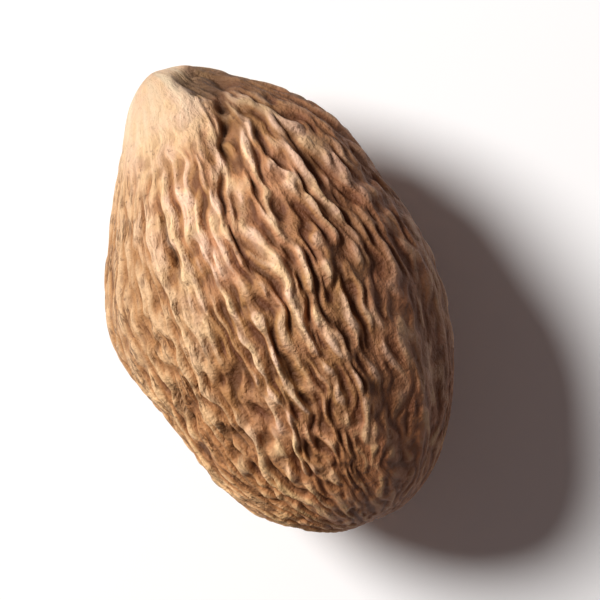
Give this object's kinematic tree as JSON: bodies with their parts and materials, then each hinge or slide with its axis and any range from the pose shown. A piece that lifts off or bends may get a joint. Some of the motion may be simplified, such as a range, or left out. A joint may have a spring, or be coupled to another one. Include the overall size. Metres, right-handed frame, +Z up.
{
  "type": "whole nutmeg",
  "caption": "Whole dried nutmeg seed, egg shaped, with long wrinkled folds in its brown skin, a pale nub at one end and a small flat underneath to rest on.",
  "frame": {"origin": "on the plane that the nutmeg rests on, under the middle of its bounding box", "axes": "+Z up, +Y along the nutmeg towards its nub, +X across it"},
  "size_m": [0.0204, 0.0304, 0.0189],
  "materials": {
    "nutmeg_skin": "matt, dry and wrinkled, straw tan on the crests and dark brown in the furrows, with a cream nub"
  },
  "bodies": {
    "root": {"nutmeg": "nutmeg_skin"}
  },
  "joints": []
}
